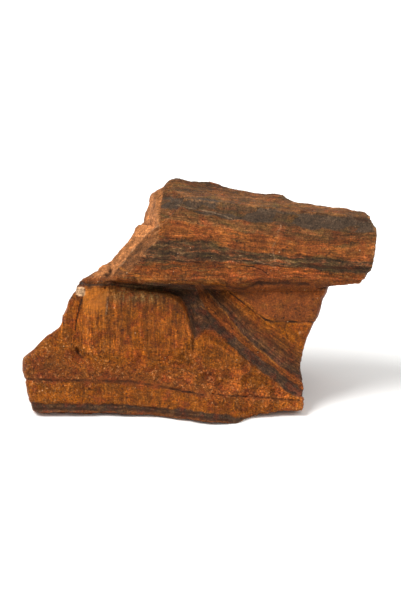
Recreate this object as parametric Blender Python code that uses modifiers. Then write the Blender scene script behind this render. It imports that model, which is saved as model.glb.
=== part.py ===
"""Rough tiger's eye: one broken lump of banded quartz, with a bar-shaped ledge that overhangs its front.

Run with: blender --background --python part.py
Metres, +Z up. The origin is at the middle of the stone's bounding box, on the flat break that it rests on.

The stone is laid out square to its own bedding, whose layers lean back from upright. Points are (across, up, deep)
in millimetres: across runs left to right from the left tip, up runs along the lean from the front toe, and deep runs
into the stone.
"""

from math import cos, exp, radians, sin, tan

import bmesh
import bpy
from mathutils import Matrix, Vector, noise

MM = 0.001

# Driving dimensions, in millimetres and degrees.
LEAN = 20.0                 # how far the bedding leans back
FLOOR_MARGIN = 6.0          # stone left below the resting face until the last cut
BACK_OF_BLOCKS = 75.0       # how deep the two blocks reach before the back is broken off

LOWER_FRONT = 6.0           # depth of the lower front face
LEDGE_FRONT = -1.0          # depth of the ledge's lower edge
LEDGE_EDGE_UP = 49.0        # height of that edge
LEDGE_FACE_TILT = 15.0      # how much further the ledge's face leans back

VOXEL = 1.1                 # grid that the joined blocks are remade on
TRIANGLES = 8800            # what the finished solid is thinned to
SEED_SHIFT = Vector((31.7, 12.9, 54.3))

# The lower block's outline, square to the bedding: (across, up).
LOWER_OUTLINE = [
    (0.2, 22.7), (0.1, 18.5), (1.0, 14.0), (1.9, 9.2), (3.0, 4.8), (4.4, 4.0),
    (16.0, 4.1), (27.0, 3.8), (44.7, 3.3), (58.9, 1.6), (69.6, 0.4), (75.6, 0.0), (77.9, 0.9), (79.6, 2.6),
    (84.5, 4.1), (90.9, 4.7), (98.8, 4.3), (99.5, 5.6),
    (99.1, 13.8), (98.0, 20.9), (99.2, 27.7), (101.9, 34.5), (103.5, 37.0), (105.8, 43.0), (108.3, 50.5),
    (104.0, 60.0), (52.0, 60.0), (46.0, 50.6), (24.0, 49.4), (18.2, 48.3), (16.2, 44.0), (15.0, 39.8),
    (13.6, 35.4), (11.7, 32.9), (8.0, 30.3), (4.5, 27.0), (2.8, 24.6),
]

# Rock behind the undercut, which joins the ledge's left end to the lower block.
NECK_OUTLINE = [(20.5, 44.0), (60.0, 44.0), (60.0, 60.0), (38.0, 60.0), (30.0, 55.0), (22.5, 50.8)]
NECK_FRONT = 10.0

# The ledge's outline.
LEDGE_OUTLINE = [
    (18.0, 47.6), (19.2, 50.0), (22.2, 52.2), (28.0, 54.4), (31.5, 57.0), (34.5, 60.4), (37.5, 64.4),
    (40.5, 68.4), (43.0, 72.4), (44.5, 74.6), (45.0, 77.7), (45.4, 81.4), (47.0, 83.3), (50.0, 84.6),
    (53.6, 87.9), (57.6, 86.9), (60.9, 85.5), (66.6, 84.3), (72.5, 83.3), (78.5, 82.0), (84.4, 80.9),
    (91.8, 80.4), (94.2, 78.1), (98.6, 77.0), (108.0, 75.8), (121.4, 74.8), (124.4, 71.3), (124.4, 66.5),
    (123.5, 60.0), (122.2, 53.6), (120.6, 51.0), (117.0, 50.6), (106.0, 50.1), (84.5, 48.8), (76.0, 48.0),
    (62.5, 48.7), (48.3, 49.4), (41.2, 50.8), (34.1, 51.6), (27.0, 48.5),
]


def ledge_face_depth(up):
    """How deep the ledge's leaning face is at a height."""
    return LEDGE_FRONT + (up - LEDGE_EDGE_UP) * tan(radians(LEDGE_FACE_TILT))


# Breaks: each takes off what lies outside the plane through three points. The side to take off is the one that
# holds the fourth point.
LEDGE_BREAKS = {
    "leaning face": ((30.0, LEDGE_EDGE_UP, LEDGE_FRONT), (110.0, LEDGE_EDGE_UP, LEDGE_FRONT),
                     (60.0, 79.0, ledge_face_depth(79.0)), (60.0, 60.0, -30.0)),
    "end bevel": ((47.6, 66.0, ledge_face_depth(66.0)), (38.3, 54.7, ledge_face_depth(54.7)),
                  (38.0, 60.6, 5.5), (30.0, 64.0, -10.0)),
    "end slope": ((43.3, 66.0, 7.0), (34.1, 56.1, 4.6), (39.4, 69.9, 15.0), (30.0, 70.0, 0.0)),
    "top": ((58.9, 80.7, ledge_face_depth(80.7)), (122.1, 73.2, ledge_face_depth(73.2)),
            (70.0, 84.4, 20.5), (70.0, 100.0, 10.0)),
    "right end": ((124.5, 67.0, 8.0), (122.6, 55.0, 6.0), (115.0, 62.0, 55.0), (140.0, 62.0, 40.0)),
    "lower lip": ((40.0, 51.0, -0.5), (110.0, 51.0, -0.5), (75.0, 48.9, 1.6), (75.0, 45.0, -20.0)),
    "underside": ((124.0, 50.5, 8.0), (106.0, 49.0, 8.0), (115.0, 58.0, 50.0), (115.0, 40.0, 30.0)),
}

# A shallow bite out of the ledge's upper left corner: its outline, and the one flat face that it leaves.
BITE_OUTLINE = [(47.6, 66.5), (52.0, 66.5), (52.0, 95.0), (30.0, 95.0), (30.0, 78.0), (40.5, 72.5)]
BITE_FRONT = -12.0
BITE_FACE = ((49.6, 81.3, ledge_face_depth(81.3)), (47.8, 67.5, ledge_face_depth(67.5)),
             (45.6, 79.0, 20.0), (70.0, 80.0, 30.0))

LOWER_BREAKS = {
    "right side": ((99.0, 5.0, 10.0), (107.5, 48.0, 12.0), (90.0, 20.0, 60.0), (130.0, 20.0, 40.0)),
    "left side": ((0.0, 20.0, 14.0), (14.0, 38.0, 16.0), (9.0, 14.0, 58.0), (-30.0, 30.0, 40.0)),
}

# Breaks through both blocks, round the back.
BACK_BREAKS = {
    "back": ((30.0, 88.0, 28.0), (110.0, 82.0, 22.0), (60.0, 20.0, 58.0), (60.0, 80.0, 90.0)),
    "back foot": ((20.0, 40.0, 51.0), (100.0, 34.0, 50.0), (60.0, 20.0, 56.0), (60.0, 20.0, 120.0)),
    "back left": ((10.0, 30.0, 40.0), (36.0, 20.0, 66.0), (50.0, 85.0, 30.0), (0.0, 50.0, 90.0)),
    "back right": ((122.0, 60.0, 26.0), (84.0, 30.0, 58.0), (106.0, 78.0, 22.0), (140.0, 50.0, 80.0)),
}

# Forms on the front, in millimetres, square to the bedding.
MOUND_CENTRE, MOUND_RADII = (40.0, 25.0), (21.0, 22.6)   # the fibrous bulge, a squared-off ellipse
MOUND_OUT = 4.2
MOUND_LEFT, MOUND_FOOT = 20.5, 24.0
APRON_EDGE = [(60.0, 34.0), (84.5, 22.0), (98.0, 13.0)]  # chippy rock stands out below this slanting line
APRON_SHARE = 0.62
TOE_CENTRE, TOE_RADII, TOE_OUT = (68.0, 1.0), (15.0, 12.5), 7.4
TOE_END, TOE_END_DROP = 78.0, 0.55                      # the toe is broken off at its right end
SHOULDER_CENTRE, SHOULDER_RADII, SHOULDER_OUT = (8.0, 17.0), (15.0, 11.0), 2.6
HOLLOW_CENTRE, HOLLOW_RADII, HOLLOW_IN = (68.0, 41.0), (12.0, 11.0), 2.6
GROOVE_UP, GROOVE_HALF, GROOVE_IN = 48.6, 2.4, 3.6      # the undercut below the ledge
CLEFT_ACROSS, CLEFT_HALF, CLEFT_IN = 19.4, 1.0, 1.5     # the upright cleft left of the mound
PIT_CENTRE, PIT_RADII, PIT_IN = (19.6, 25.4), (2.2, 1.5), 2.4
SOCKET_CENTRE, SOCKET_RADII, SOCKET_IN = (29.4, 53.4), (1.7, 1.9), 4.5   # the dark hole at the ledge's left tip
LUMP_CENTRE, LUMP_RADII, LUMP_OUT = (78.0, 50.5), (8.0, 5.0), 2.4        # the round lump on the ledge's lip
FLAKE_EDGE = [(72.0, 46.5), (79.5, 43.0), (84.5, 38.7), (89.0, 36.2), (103.0, 35.9)]   # its foot, left to right
FLAKE_OUT, FLAKE_STEP, FLAKE_FADE = 3.2, 0.8, 15.0      # the smooth flake that runs up to the ledge's right half
BENCH = [(0.0, 15.6), (38.0, 15.0), (52.0, 12.2), (71.0, 10.3), (98.0, 8.6)]   # a layer's edge, proud below this line
BENCH_OUT = 0.8
SEAM = [(3.0, 6.6), (45.0, 6.6), (62.0, 4.2), (98.0, 2.0)]                # a dark, worn layer near the foot
SEAM_HALF, SEAM_IN = 0.9, 0.5

# Roughness of the breaks.
FACET_SIZE, FACET_DEPTH = 13.0, 0.55
CHIP_SIZE, CHIP_DEPTH = 4.2, 0.35
LAYER_THICKNESS, LAYER_DEPTH = 3.1, 0.35
SWELL_SIZE, SWELL_DEPTH = 34.0, 2.4                    # long hollows and swells, on the back and the sides only
FRONT_SHARE, BACK_SHARE = 0.6, 1.4                    # how much of the roughness those sides show


def world(across, up, deep):
    """A layout point in metres, in the row frame before it is centred."""
    lean = radians(LEAN)
    return Vector((across, up * sin(lean) + deep * cos(lean), up * cos(lean) - deep * sin(lean))) * MM


def layout(point):
    """(across, up, deep) in millimetres of a point in metres."""
    lean = radians(LEAN)
    x, y, z = point / MM
    return x, y * sin(lean) + z * cos(lean), y * cos(lean) - z * sin(lean)


def ramp(value, low, high):
    """0 below low, 1 above high, and smooth between."""
    t = min(1.0, max(0.0, (value - low) / (high - low)))
    return t * t * (3.0 - 2.0 * t)


def swell(across, up, centre, radii):
    """1 at the centre, falling to almost nothing at twice the radii."""
    return exp(-((across - centre[0]) / radii[0]) ** 2 - ((up - centre[1]) / radii[1]) ** 2)


def line_height(line, across):
    """The height of a line of (across, up) points at a place across."""
    for (x0, y0), (x1, y1) in zip(line, line[1:]):
        if across <= x1:
            return y0 + (y1 - y0) * max(0.0, (across - x0) / (x1 - x0))
    return line[-1][1]


def mesh_object(name, mesh, collection):
    obj = bpy.data.objects.new(name, mesh)
    collection.objects.link(obj)
    return obj


def evaluated_mesh(obj):
    """A mesh of the object with its modifiers applied, in world space."""
    bpy.context.view_layer.update()
    graph = bpy.context.evaluated_depsgraph_get()
    mesh = bpy.data.meshes.new_from_object(obj.evaluated_get(graph))
    mesh.transform(obj.matrix_world)
    return mesh


def block(name, outline, front, collection):
    """The outline pushed straight into the stone, from the front to far behind the back."""
    curve = bpy.data.curves.new(name, "CURVE")
    curve.dimensions = "2D"
    curve.fill_mode = "BOTH"
    half = (BACK_OF_BLOCKS - front) / 2
    curve.extrude = half * MM
    spline = curve.splines.new("POLY")
    spline.points.add(len(outline) - 1)
    for point, (across, up) in zip(spline.points, outline):
        point.co = (across * MM, up * MM, 0.0, 1.0)
    spline.use_cyclic_u = True
    guide = bpy.data.objects.new(name + "_outline", curve)
    collection.objects.link(guide)
    middle = world(0.0, 0.0, front + half)
    guide.matrix_world = Matrix.Translation(middle) @ Matrix.Rotation(radians(90.0 - LEAN), 4, "X")
    mesh = evaluated_mesh(guide)
    bpy.data.objects.remove(guide)
    work = bmesh.new()
    work.from_mesh(mesh)
    bmesh.ops.remove_doubles(work, verts=work.verts, dist=0.0001 * MM)
    bmesh.ops.recalc_face_normals(work, faces=work.faces)
    work.to_mesh(mesh)
    work.free()
    return mesh_object(name, mesh, collection)


def cut(mesh, place, normal):
    """Takes off what lies beyond a plane, and closes the stone with a flat face there."""
    work = bmesh.new()
    work.from_mesh(mesh)
    everything = work.verts[:] + work.edges[:] + work.faces[:]
    bmesh.ops.bisect_plane(work, geom=everything, dist=1e-7, plane_co=place, plane_no=normal, clear_outer=True)
    rim = [edge for edge in work.edges if edge.is_boundary]
    bmesh.ops.holes_fill(work, edges=rim, sides=0)
    bmesh.ops.recalc_face_normals(work, faces=work.faces)
    work.to_mesh(mesh)
    work.free()


def break_off(mesh, breaks):
    """Makes each break in turn."""
    for corners in breaks.values():
        a, b, c, taken = (world(*corner) for corner in corners)
        normal = (b - a).cross(c - a).normalized()
        if (taken - a).dot(normal) < 0.0:
            normal.negate()
        cut(mesh, a, normal)


def remade(obj, voxel):
    """Puts the object's surface on an even grid."""
    remesh = obj.modifiers.new("even grid", "REMESH")
    remesh.mode = "VOXEL"
    remesh.voxel_size = voxel * MM
    mesh = evaluated_mesh(obj)
    obj.modifiers.clear()
    obj.data = mesh


def joined_blocks(collection):
    """The lower block with the ledge grown onto it, broken to shape."""
    lower = block("tigers_eye", LOWER_OUTLINE, LOWER_FRONT, collection)
    neck = block("neck", NECK_OUTLINE, NECK_FRONT, collection)
    ledge = block("ledge", LEDGE_OUTLINE, LEDGE_FRONT - 4.0, collection)
    break_off(lower.data, LOWER_BREAKS)
    break_off(ledge.data, LEDGE_BREAKS)
    bite = block("bite", BITE_OUTLINE, BITE_FRONT, collection)
    break_off(bite.data, {"face": BITE_FACE})
    for other, operation in ((neck, "UNION"), (ledge, "UNION"), (bite, "DIFFERENCE")):
        step = lower.modifiers.new(other.name, "BOOLEAN")
        step.operation = operation
        step.object = other
    mesh = evaluated_mesh(lower)
    lower.modifiers.clear()
    lower.data = mesh
    for other in (neck, ledge, bite):
        bpy.data.objects.remove(other)
    break_off(lower.data, BACK_BREAKS)
    cut(lower.data, Vector((0.0, 0.0, -FLOOR_MARGIN * MM)), Vector((0.0, 0.0, -1.0)))
    return lower


def lower_front_relief(across, up):
    """How far the lower front stands out, in millimetres."""
    reach = abs((across - MOUND_CENTRE[0]) / MOUND_RADII[0]) ** 3 + abs((up - MOUND_CENTRE[1]) / MOUND_RADII[1]) ** 3
    mound = ramp(-reach, -1.05, -0.86) * ramp(across, MOUND_LEFT - 1.0, MOUND_LEFT + 1.5)
    mound *= 0.25 * ramp(up, MOUND_FOOT - 0.6, MOUND_FOOT + 0.6) + 0.75 * ramp(up, MOUND_FOOT - 8.0, MOUND_FOOT + 9.0)
    mound *= 0.78 + 0.22 * ramp(across, 24.0, 50.0)
    apron = ramp(line_height(APRON_EDGE, across) - up, -1.2, 2.0) * ramp(across, 54.0, 62.0) * ramp(up, 9.0, 26.0)
    out = MOUND_OUT * max(mound, APRON_SHARE * apron)
    toe_end = 1.0 - TOE_END_DROP * ramp(across, TOE_END - 0.8, TOE_END + 0.8) * (1.0 - ramp(up, 5.0, 12.0))
    out += TOE_OUT * swell(across, up, TOE_CENTRE, TOE_RADII) * toe_end
    out += SHOULDER_OUT * swell(across, up, SHOULDER_CENTRE, SHOULDER_RADII)
    out -= HOLLOW_IN * swell(across, up, HOLLOW_CENTRE, HOLLOW_RADII) * (1.0 - mound)
    groove = (0.35 + 0.65 * ramp(across, 34.0, 54.0)) * (1.0 - 0.6 * ramp(across, 64.0, 78.0))
    out -= GROOVE_IN * exp(-((up - GROOVE_UP) / GROOVE_HALF) ** 2) * groove
    above_flake_edge = up - line_height(FLAKE_EDGE, across)
    flake = FLAKE_STEP * ramp(above_flake_edge, -0.3, 0.3) * ramp(across, 72.0, 78.0)
    out += flake + (FLAKE_OUT - FLAKE_STEP) * ramp(above_flake_edge, -FLAKE_FADE, 4.0) * ramp(across, 64.0, 82.0)
    out -= CLEFT_IN * exp(-((across - CLEFT_ACROSS) / CLEFT_HALF) ** 2) * ramp(up, 28.0, 33.0)
    out -= PIT_IN * swell(across, up, PIT_CENTRE, PIT_RADII)
    below = line_height(BENCH, across) - up
    out += BENCH_OUT * ramp(below, -0.4, 0.5)
    out -= SEAM_IN * exp(-((up - line_height(SEAM, across)) / SEAM_HALF) ** 2)
    return out


def ledge_relief(across, up):
    """How far the ledge's front stands out, in millimetres."""
    out = LUMP_OUT * swell(across, up, LUMP_CENTRE, LUMP_RADII)
    out -= SOCKET_IN * swell(across, up, SOCKET_CENTRE, SOCKET_RADII)
    return out


def carve_front(mesh):
    """Moves the front-facing surface out or in by the relief, straight along the bedding."""
    toward = world(0.0, 0.0, -1.0)
    facing = toward.normalized()
    normals = [vertex.normal.copy() for vertex in mesh.vertices]
    for vertex, normal in zip(mesh.vertices, normals):
        across, up, deep = layout(vertex.co)
        share = ramp(normal.dot(facing), 0.05, 0.45)
        if share == 0.0 or deep > 26.0:
            continue
        on_ledge = ramp(ledge_face_depth(up) + 4.0 - deep, 0.0, 1.5) * ramp(up, 47.0, 49.5)
        relief = on_ledge * ledge_relief(across, up) + (1.0 - on_ledge) * lower_front_relief(across, up)
        if deep > LOWER_FRONT + 2.0 and up > 51.0:
            relief = ledge_relief(across, up)
        vertex.co += toward * relief * share


def broken_facets(place, size):
    """A field of flat, tilted facets that meet in ridges, from about -1 to 1."""
    here = place / size
    distances, seeds = noise.voronoi(here)
    heights = []
    for distance, seed in zip(distances, seeds):
        tilt = Vector(noise.cell_vector(seed * 7.3)) * 2.0 - Vector((1.0, 1.0, 1.0))
        heights.append((here - seed).dot(tilt) * 1.4 - distance)
    return max(heights) + 0.4


def roughen(mesh):
    """Gives every break its facets, chips and worn layers."""
    into_stone = world(0.0, 0.0, 1.0).normalized()
    normals = [vertex.normal.copy() for vertex in mesh.vertices]
    for vertex, normal in zip(mesh.vertices, normals):
        place = vertex.co / MM + SEED_SHIFT
        across, up, deep = layout(vertex.co)
        drift = 2.0 * noise.noise(place / 24.0)
        backward = normal.dot(into_stone)
        share = FRONT_SHARE + (1.0 - FRONT_SHARE) * ramp(backward, -0.9, -0.4)
        share += (BACK_SHARE - 1.0) * ramp(backward, 0.1, 0.7)
        out = FACET_DEPTH * broken_facets(place, FACET_SIZE)
        out += CHIP_DEPTH * noise.fractal(place / CHIP_SIZE, 0.9, 2.0, 3)
        out += LAYER_DEPTH * noise.noise(Vector((across / 26.0, (up + drift) / LAYER_THICKNESS, 4.0)))
        out = out * share + SWELL_DEPTH * noise.noise(place / SWELL_SIZE) * ramp(backward, 0.15, 0.65)
        vertex.co += normal * out * MM


def thinned(obj, triangles):
    """Fewer triangles, kept where the shape needs them."""
    decimate = obj.modifiers.new("thin out", "DECIMATE")
    obj.data.calc_loop_triangles()
    decimate.ratio = triangles / len(obj.data.loop_triangles)
    decimate.use_collapse_triangulate = True
    mesh = evaluated_mesh(obj)
    obj.modifiers.clear()
    obj.data = mesh


def drop_crumbs(mesh):
    """Keeps the one large body, in case the roughness has parted a crumb from an edge."""
    work = bmesh.new()
    work.from_mesh(mesh)
    left = set(work.verts)
    bodies = []
    while left:
        body = {left.pop()}
        edge_of_search = list(body)
        while edge_of_search:
            vertex = edge_of_search.pop()
            for edge in vertex.link_edges:
                other = edge.other_vert(vertex)
                if other in left:
                    left.remove(other)
                    body.add(other)
                    edge_of_search.append(other)
        bodies.append(body)
    bodies.sort(key=len)
    for body in bodies[:-1]:
        bmesh.ops.delete(work, geom=list(body), context="VERTS")
    work.to_mesh(mesh)
    work.free()


def centre(obj):
    """Puts the middle of the bounding box over the origin."""
    xs = [vertex.co.x for vertex in obj.data.vertices]
    ys = [vertex.co.y for vertex in obj.data.vertices]
    middle = Vector(((min(xs) + max(xs)) / 2, (min(ys) + max(ys)) / 2, 0.0))
    obj.data.transform(Matrix.Translation(-middle))


def tigers_eye_material():
    material = bpy.data.materials.new("tiger's eye")
    material.use_nodes = True
    shader = material.node_tree.nodes["Principled BSDF"]
    shader.inputs["Base Color"].default_value = (0.23, 0.085, 0.028, 1.0)
    shader.inputs["Roughness"].default_value = 0.55
    shader.inputs["Metallic"].default_value = 0.0
    return material


def stone(collection):
    obj = joined_blocks(collection)
    remade(obj, VOXEL)
    carve_front(obj.data)
    remade(obj, VOXEL)
    roughen(obj.data)
    thinned(obj, TRIANGLES)
    cut(obj.data, Vector((0.0, 0.0, 0.0)), Vector((0.0, 0.0, -1.0)))
    drop_crumbs(obj.data)
    centre(obj)
    obj.data.materials.clear()
    obj.data.materials.append(tigers_eye_material())
    obj.data.shade_smooth()
    obj.data.set_sharp_from_angle(angle=radians(35.0))
    return obj


def main():
    for obj in list(bpy.data.objects):
        bpy.data.objects.remove(obj)
    collection = bpy.data.collections.new("tigers_eye")
    bpy.context.scene.collection.children.link(collection)
    stone(collection)


main()
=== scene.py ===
from functools import partial
from itertools import product
from math import cos, radians, sin

import bpy
import numpy as np
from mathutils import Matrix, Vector


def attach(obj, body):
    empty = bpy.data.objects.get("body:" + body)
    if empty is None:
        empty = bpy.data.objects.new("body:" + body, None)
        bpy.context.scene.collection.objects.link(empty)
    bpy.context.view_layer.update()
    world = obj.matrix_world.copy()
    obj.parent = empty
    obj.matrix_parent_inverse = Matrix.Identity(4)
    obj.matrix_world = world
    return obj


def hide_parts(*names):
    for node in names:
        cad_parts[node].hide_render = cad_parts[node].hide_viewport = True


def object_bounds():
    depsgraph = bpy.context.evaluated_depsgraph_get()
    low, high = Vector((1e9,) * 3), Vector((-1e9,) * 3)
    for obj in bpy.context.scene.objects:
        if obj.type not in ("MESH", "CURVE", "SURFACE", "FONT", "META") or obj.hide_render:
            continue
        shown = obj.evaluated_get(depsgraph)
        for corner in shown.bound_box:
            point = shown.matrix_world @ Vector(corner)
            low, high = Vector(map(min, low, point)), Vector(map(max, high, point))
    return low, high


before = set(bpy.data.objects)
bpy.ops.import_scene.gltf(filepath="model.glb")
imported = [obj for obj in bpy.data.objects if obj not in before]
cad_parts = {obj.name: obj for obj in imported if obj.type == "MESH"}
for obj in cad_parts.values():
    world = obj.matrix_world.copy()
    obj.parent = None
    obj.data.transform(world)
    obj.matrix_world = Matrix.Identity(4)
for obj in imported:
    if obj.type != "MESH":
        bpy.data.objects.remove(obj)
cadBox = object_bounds()
print("frame loaded")

# The stone is laid out in millimetres along its own bedding: across runs left to right, up runs up the
# layers and deep runs into the stone. The layers lean back from upright by this many degrees.
leanDegrees = 20.0
beddingZero = (0.3, 1.2, 0.0)     # its start, in millimetres from the low corner of the stone's box
mm = 0.001

# Every layer from the foot of the stone to its top: which rock it is; how thick it is, which sets how far
# apart its laminae are; how far it stands out; and where it starts on the front, as (across, up) points.
layers = {
    "foot": {
        "rock": "rust", "thick": 4.4, "proud": 0.0,
        "foot": [(0, -8), (125, -8)]},
    "dark seam": {
        "rock": "ironBrown", "thick": 2.6, "proud": -0.15,
        "foot": [(0, 4.6), (45, 4.3), (62, 2.2), (75, 0.3), (98, 0.1)]},
    "base band": {
        "rock": "amber", "thick": 7.4, "proud": 0.15,
        "foot": [(0, 7.4), (20, 7.0), (36, 6.9), (48, 5.6), (62, 4.6), (75, 2.6), (98, 1.4)]},
    "bench": {
        "rock": "rust", "thick": 1.2, "proud": -0.15,
        "foot": [(0, 14.6), (27, 14.6), (41, 13.5), (48, 12.4), (55, 11.0), (62, 9.6), (80, 8.6),
                 (98, 7.4)]},
    "granular": {
        "rock": "rust", "thick": 7.7, "proud": 0.1,
        "foot": [(0, 16.0), (38, 15.7), (45, 14.6), (52, 13.5), (59, 12.1), (66, 11.1), (80, 9.8),
                 (98, 8.0)]},
    "fibrous bulge": {
        "rock": "amber", "thick": 25.9, "proud": 0.0,
        "foot": [(0, 31), (12, 30), (20, 25.5), (26, 23.4), (50, 22.5), (62, 21.5), (78, 15.5),
                 (98, 9.5)]},
    "diagonal dark": {
        "rock": "ironBrown", "thick": 5.5, "proud": -0.4,
        "foot": [(0, 50.5), (21, 49.0), (30.5, 49.2), (41, 47.9), (50, 46.9), (55.4, 45.1),
                 (57.9, 41.2), (58.9, 35.1), (60.4, 29.5), (64.3, 33.6), (67.8, 32.8), (70.1, 31.2),
                 (74.9, 26.5), (81.4, 20.6), (89.7, 14.5), (93.3, 11.5), (97, 9.5), (105, 6.0)]},
    "first fan": {
        "rock": "rust", "thick": 3.8, "proud": 0.15,
        "foot": [(0, 50.6), (60.5, 49.6), (61.5, 47.5), (64.3, 42.0), (66.4, 37.8), (68.4, 36.2),
                 (73.8, 31.6), (81.4, 25.2), (89.7, 19.2), (95.6, 14.5), (105, 8.5)]},
    "second fan": {
        "rock": "ironBrown", "thick": 9.5, "proud": -0.05,
        "foot": [(0, 50.7), (63, 49.8), (65.4, 46.4), (68.4, 42.8), (73.8, 36.3), (79.1, 29.8),
                 (85, 25.0), (90.9, 20.4), (98, 15.5), (105, 11.0)]},
    "third fan": {
        "rock": "amber", "thick": 1.2, "proud": 0.1,
        "foot": [(0, 50.8), (69, 49.9), (76.7, 44.0), (81, 40.1), (84.5, 36.9), (89, 34.1),
                 (92.7, 31.6), (98, 28.0), (105, 24.0)]},
    "smooth flake": {
        "rock": "rust", "thick": 8.0, "proud": 0.25,
        "foot": [(0, 50.9), (71, 50.0), (76, 44.9), (79.5, 42.6), (82.7, 39.4), (85.9, 37.3),
                 (90, 36.2), (108, 35.5)]},
    "lip": {
        "rock": "rust", "thick": 8.4, "proud": 0.0,
        "foot": [(0, 51.0), (34, 51.4), (45, 49.6), (62, 49.0), (78, 48.2), (84, 50.0), (106, 50.5),
                 (125, 50.4)]},
    "fine dark": {
        "rock": "jasper", "thick": 5.2, "proud": -0.15,
        "foot": [(20, 56.0), (48, 57.5), (62.5, 57.2), (80, 56.8), (98, 55.4), (115, 53.2),
                 (125, 53.0)]},
    "orange": {
        "rock": "limonite", "thick": 6.3, "proud": 0.15,
        "foot": [(20, 66.0), (48, 66.0), (62.5, 65.3), (80, 61.0), (98, 59.6), (115, 57.9),
                 (125, 57.9)]},
    "speckled": {
        "rock": "tawny", "thick": 4.4, "proud": 0.0,
        "foot": [(20, 75.0), (48, 73.4), (62.5, 70.6), (80, 67.8), (98, 65.3), (115, 65.4),
                 (125, 66.0)]},
    "grey": {
        "rock": "jasper", "thick": 5.7, "proud": -0.2,
        "foot": [(20, 78.5), (48, 77.0), (59, 75.3), (73, 73.1), (87, 71.0), (99, 69.6), (111, 68.5),
                 (125, 67.8)]},
    "top strip": {
        "rock": "tawny", "thick": 17.5, "proud": 0.15,
        "foot": [(20, 82.0), (50, 80.9), (59, 80.6), (78, 78.1), (92, 76.3), (106.5, 74.6),
                 (125, 73.0)]},
}

# Fine lines on the front: half the width, how strong, then (across, up) points. Cracks are dark and sunk,
# grooves are soft layers that have worn back, seams are thin golden layers, and veins are pale healed
# cracks. Two grooves, under the ledge's lip and down the bulge's right side, are sunk lines of painted
# shadow, and the veins round the lip's lump, along the ledge's end ridge and down the gold plate are
# painted highlights on lit edges.
cracks = [
    (0.33, 1.0, [(73.5, 46.6), (76.0, 44.4), (79.5, 41.6), (82.7, 39.0), (85.5, 37.1), (88.5, 36.3),
                 (103.0, 36.0)]),
    (0.22, 0.8, [(76.7, 56.1), (81.0, 55.7), (84.5, 54.7), (87.0, 52.6)]),
    (0.18, 0.7, [(92.2, 42.2), (92.5, 36.0), (92.9, 33.4), (94.4, 26.3), (96.6, 20.5)]),
    (0.3, 0.9, [(21.5, 47.6), (19.9, 42.2), (19.0, 36.9), (18.5, 33.0)]),
    (0.2, 0.7, [(17.6, 44.5), (16.9, 40.0), (17.3, 36.5)]),
    (0.22, 0.6, [(56.9, 33.5), (60.4, 29.1), (62.5, 31.2), (64.9, 34.4)]),
    (0.16, 0.7, [(60.4, 29.1), (60.0, 25.5)]),
    (0.34, 0.6, [(18.3, 27.6), (19.1, 25.9), (20.8, 23.6)]),
    (0.22, 0.6, [(20.8, 24.8), (23.2, 25.6), (25.2, 24.2)]),
    (0.2, 0.8, [(41.2, 58.9), (50.4, 58.4), (59.0, 57.5), (70.0, 57.0)]),
    (0.16, 0.6, [(48.6, 65.9), (56.0, 65.6), (66.0, 64.2)]),
    (0.16, 0.5, [(42.4, 59.6), (41.2, 58.2), (38.3, 54.7)]),
    (0.2, 0.9, [(50.0, 12.9), (55.0, 12.0), (60.0, 10.9), (64.0, 10.4)]),
    (0.22, 0.9, [(69.0, 10.4), (73.0, 10.0), (79.0, 9.6)]),
    (0.16, 0.6, [(84.0, 9.4), (91.0, 8.9), (98.0, 8.4)]),
    (0.16, 0.5, [(43.0, 23.6), (47.0, 22.8), (52.0, 23.0)]),
]
grooves = [
    (0.5, 0.8, [(1.5, 15.9), (14.0, 15.5), (27.0, 15.3), (38.0, 14.9), (45.0, 13.9), (52.0, 12.6),
                (62.0, 10.8)]),
    (0.35, 0.7, [(66.0, 10.8), (74.0, 10.2), (82.0, 9.6), (98.0, 8.6)]),
    (0.45, 0.8, [(3.0, 7.4), (12.0, 7.2), (20.0, 6.9), (38.0, 6.6), (48.0, 5.2), (62.0, 3.9)]),
    (0.5, 1.0, [(3.6, 5.6), (20.0, 5.2), (38.0, 5.2), (48.0, 4.2), (62.0, 2.6), (74.0, 1.1)]),
    # This groove and the next are painted shadow lines: under the ledge's lip and down the right side of the
    # bulge.
    (0.4, 0.6, [(22.0, 50.4), (31.0, 50.6), (41.0, 49.4), (49.0, 48.2), (54.0, 46.6), (57.2, 43.0),
                (58.4, 38.0), (59.6, 32.5)]),
    (0.5, 1.0, [(48.0, 48.8), (62.0, 48.6), (74.0, 48.5), (78.0, 48.0), (80.5, 48.8), (82.6, 50.2),
                (92.0, 49.8), (101.0, 49.6)]),
    (0.7, 0.6, [(66.5, 47.5), (74.0, 41.0), (81.0, 34.5), (88.0, 29.5), (95.0, 23.0)]),
    (0.6, 0.5, [(70.0, 48.6), (78.0, 45.8), (86.0, 41.6)]),
    (0.45, 0.7, [(90.0, 77.0), (100.0, 75.4), (112.0, 73.6), (122.0, 72.4)]),
    (0.5, 0.8, [(98.0, 56.6), (106.0, 55.9), (114.0, 55.2), (123.0, 54.0)]),
]
seams = [
    (0.24, 1.0, [(65.4, 46.6), (68.4, 43.0), (73.8, 36.5), (79.1, 30.0), (85.0, 25.0), (90.9, 20.0)]),
    (0.2, 0.7, [(75.8, 45.8), (81.0, 41.0), (86.0, 36.4), (91.5, 32.6)]),
    (0.18, 0.6, [(62.6, 41.8), (64.6, 40.6), (66.6, 41.2), (68.0, 39.6), (72.0, 35.4)]),
    (0.4, 0.8, [(33.0, 55.6), (36.0, 54.4), (40.0, 52.5), (44.0, 51.2), (48.0, 50.4), (58.0, 50.0),
                (70.0, 50.2)]),
]
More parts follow.
